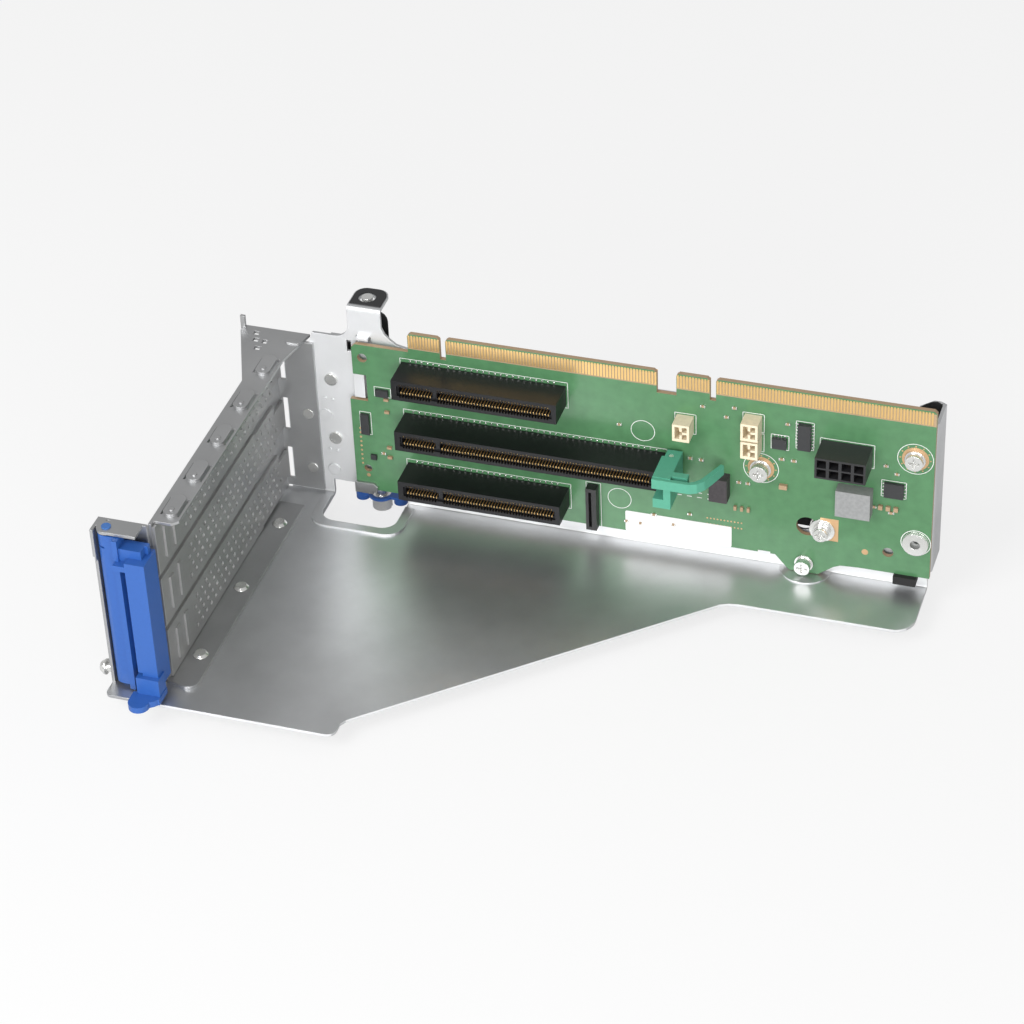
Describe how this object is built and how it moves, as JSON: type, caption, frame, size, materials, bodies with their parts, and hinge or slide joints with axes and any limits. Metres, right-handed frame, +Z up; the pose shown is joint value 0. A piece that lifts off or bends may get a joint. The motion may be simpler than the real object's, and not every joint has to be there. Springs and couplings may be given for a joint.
{
  "type": "riser cage bracket",
  "caption": "Server riser cage: a folded steel plate and wall holding a riser board with three expansion slots, with perforated slot covers, a hinged card latch and a captive thumbscrew.",
  "frame": {"origin": "on the underside of the plate, in line with the first contact of the slots (X = 0) and with the front face of the riser board (Y = 0)", "axes": "+X along the riser board, away from the slot covers; +Y from the plate's front edge to the back; +Z up, out of the plate, towards the board's edge contacts"},
  "size_m": [0.2435, 0.1402, 0.0852],
  "materials": {
    "cage_steel": "galvanised satin",
    "bracket_steel": "galvanised satin",
    "cover_steel": "stainless satin",
    "bright_steel": "bright plated",
    "latch_blue": "semi-gloss",
    "pin_blue": "semi-gloss",
    "board_green": "solder mask, semi-gloss",
    "contact_gold": "gold plated, satin",
    "slot_black": "moulded, satin",
    "clip_green": "moulded, satin",
    "choke_grey": "ferrite, matt",
    "card_socket": "moulded, satin",
    "power_black": "moulded, satin",
    "header_cream": "moulded, matt",
    "inductor_grey": "ferrite, matt",
    "chip_black": "epoxy, matt",
    "capacitor_tan": "ceramic, satin",
    "film_black": "film, satin",
    "bumper_rubber": "matt",
    "label_white": "paper label, matt"
  },
  "bodies": {
    "cage": {"cage_sheet": "cage_steel", "rear_bracket": "bracket_steel", "slot_cover_top": "cover_steel", "slot_cover_middle": "cover_steel", "slot_cover_bottom": "cover_steel", "latch_bracket": "bracket_steel", "latch_pin": "pin_blue", "guide_stud": "bright_steel", "cage_rivets": "bright_steel", "riser_board": "board_green", "edge_contacts": "contact_gold", "slot_connector_top": "slot_black", "slot_connector_middle": "slot_black", "slot_connector_bottom": "slot_black", "clip_pin": "bright_steel", "black_choke": "choke_grey", "m2_connector": "card_socket", "power_connector": "power_black", "power_pins": "contact_gold", "cream_headers": "header_cream", "inductor": "inductor_grey", "chips": "chip_black", "capacitors": "capacitor_tan", "board_screws": "bright_steel", "keyhole_washer": "bright_steel", "threaded_nut": "bright_steel", "board_standoffs": "bright_steel", "tab_insulator": "film_black", "rear_insulator": "film_black", "insulator_rivets": "film_black", "rubber_bumper": "bumper_rubber", "blank_label": "label_white", "board_hook": "bracket_steel"},
    "latch": {"card_latch": "latch_blue"},
    "clip": {"slot_clip": "clip_green"},
    "thumbscrew": {"thumbscrew_shaft": "bright_steel", "thumbscrew_grip": "latch_blue", "retaining_ring": "bright_steel"}
  },
  "joints": [
    {"name": "latch_hinge", "type": "hinge", "parent": "cage", "child": "latch", "pos_m": [-0.0612, -0.1084, 0.032], "axis": [0, 0, 1], "range_deg": [-90, 0]},
    {"name": "clip_hinge", "type": "hinge", "parent": "cage", "child": "clip", "pos_m": [0.0892, -0.0042, 0.0375], "axis": [0, 0, 1], "range_deg": [0, 10]},
    {"name": "thumbscrew_turn", "type": "hinge", "parent": "cage", "child": "thumbscrew", "pos_m": [-0.017, 0.0092, 0.0375], "axis": [0, 0, 1], "continuous": true}
  ]
}
